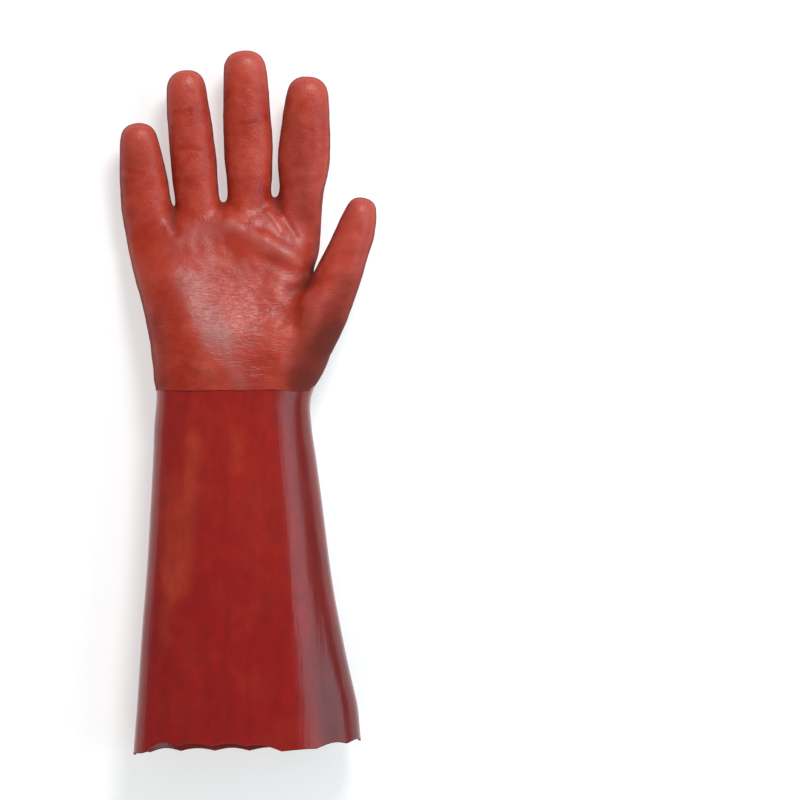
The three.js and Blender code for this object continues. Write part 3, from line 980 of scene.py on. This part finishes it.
# The attribute lays on bands of painted light and painted shade down the thumb side.
shade_paint = sleek.attribute("painted_shade")
with_light_bands = sleek.mix(sleek.between(shade_paint, 0.0, -0.8), warm, CUFF_PAINTED_LIGHT)
with_shade = sleek.mix(sleek.between(shade_paint, 0.0, 1.0), with_light_bands, CUFF_SHADE)
specks = sleek.noise(1, detail=4, vector=sleek.stretched(130, 75, 130), roughness=0.65)
mottle = sleek.ramp(specks, (0.32, (0.87, 0.8, 0.8)), (0.5, grey(1)), (0.7, (1.12, 1.4, 1.3)))
mottled = sleek.mix(1.0, with_shade, mottle, "MULTIPLY")
streak_light = sleek.ramp(streaks, (0.35, (0.93, 0.9, 0.9)), (0.65, (1.06, 1.08, 1.08)))
streaked = sleek.mix(1.0, mottled, streak_light, "MULTIPLY")
trimmed = sleek.attribute("cut")
sleek.join(sleek.mix(trimmed, streaked, CUT_EDGE), sleek.shader.inputs["Base Color"])
gloss = sleek.ramp(clouds, (0.3, grey(0.2)), (0.7, grey(0.27)))
sleek.join(sleek.mix(trimmed, gloss, grey(0.6)), sleek.shader.inputs["Roughness"])
drips = sleek.noise(1, detail=3, vector=sleek.stretched(340, 12, 340))
flow = sleek.bump(drips, 0.16 * MM, 0.8, onto=sleek.bump(streaks, 0.5 * MM, 0.5))
fine = sleek.bump(sleek.noise(420, detail=2), 0.05 * MM, 0.4, onto=flow)
sleek.join(fine, sleek.shader.inputs["Normal"])
sleek.shader.inputs["Specular IOR Level"].default_value = 0.5
print("smooth coat:", len(sleek.nodes), "nodes")

# %% Put the pieces in place of the solids
for piece, node, recipe, slot in (
    (hand, "hand", rough, "rough_coat"),
    (gauntlet, "gauntlet", sleek, "smooth_coat"),
):
    piece.data.materials.clear()
    piece.data.materials.append(recipe.material)
    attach(piece, "root")
    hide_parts(node)
    print(piece.name, "stands for", node, "in", recipe.material.name)

# %% [markdown]
# ## Floor and light
#
# The photo shows white all round, even in the narrow gaps between the fingers. Studios get that with a table
# of opal glass that's faintly lit from below, and the floor here is one: half of its light comes from the
# lamps and half from itself, so shadows stay soft and pale. Soft lights stand at the sides, where a matt coat
# gets its form from them and the glossy sleeve shows them only on its slopes. Nothing bright hangs right
# above, because the flat of the sleeve would mirror it.

# %% Pale floor
FLOOR_SIZE = 3.0
FLOOR_DROP = 0.1 * MM  # keeps the floor clear of the glove's flat underside
FLOOR_GLOW = 0.5

bm = bmesh.new()
bmesh.ops.create_grid(bm, x_segments=1, y_segments=1, size=FLOOR_SIZE / 2)
bmesh.ops.translate(bm, verts=bm.verts, vec=(0, 0, -FLOOR_DROP))
floor = make_piece("floor", bm)
opal = Recipe("opal_table")
grain = opal.ramp(opal.noise(300, detail=2), (0.3, grey(0.57)), (0.7, grey(0.59)))
opal.join(grain, opal.shader.inputs["Base Color"])
opal.shader.inputs["Roughness"].default_value = 0.9
opal.shader.inputs["Specular IOR Level"].default_value = 0.1
opal.shader.inputs["Emission Color"].default_value = (1, 1, 1, 1)
opal.shader.inputs["Emission Strength"].default_value = FLOOR_GLOW
floor.data.materials.append(opal.material)
print("floor:", FLOOR_SIZE, "m square, glow", FLOOR_GLOW)

# %% Lights and surroundings
LIGHTS = [
    dict(
        name="head_key", azimuth=70, elevation=46, distance=1.5, width=0.42, height=0.32,
        watts=15, colour=(0.96, 0.98, 1.0),
    ),
    dict(
        name="right_strip", azimuth=4, elevation=40, distance=1.1, width=1.3, height=0.6,
        watts=5.0, colour=(0.58, 0.88, 1.0),
    ),
    dict(
        name="foot_fill", azimuth=-96, elevation=50, distance=1.5, width=1.0, height=0.5,
        watts=4.6, colour=(1.0, 0.98, 0.96),
    ),
]
SKY = 0.3

for row in LIGHTS:
    light = bpy.data.lights.new(row["name"], "AREA")
    light.shape = "RECTANGLE"
    light.size = row["width"]
    light.size_y = row["height"]
    light.energy = row["watts"]
    light.color = row["colour"]
    lamp = bpy.data.objects.new(row["name"], light)
    turn, rise = math.radians(row["azimuth"]), math.radians(row["elevation"])
    out = Vector((math.cos(turn) * math.cos(rise), math.sin(turn) * math.cos(rise), math.sin(rise)))
    lamp.location = out * row["distance"]
    lamp.rotation_euler = out.to_track_quat("Z", "Y").to_euler()
    bpy.context.scene.collection.objects.link(lamp)

world = bpy.data.worlds.new("studio")
world.use_nodes = True
background = world.node_tree.nodes["Background"].inputs
background["Color"].default_value = (1, 1, 1, 1)
background["Strength"].default_value = SKY
bpy.context.scene.world = world
bpy.context.scene.view_settings.view_transform = "Standard"
print("lights:", len(LIGHTS))
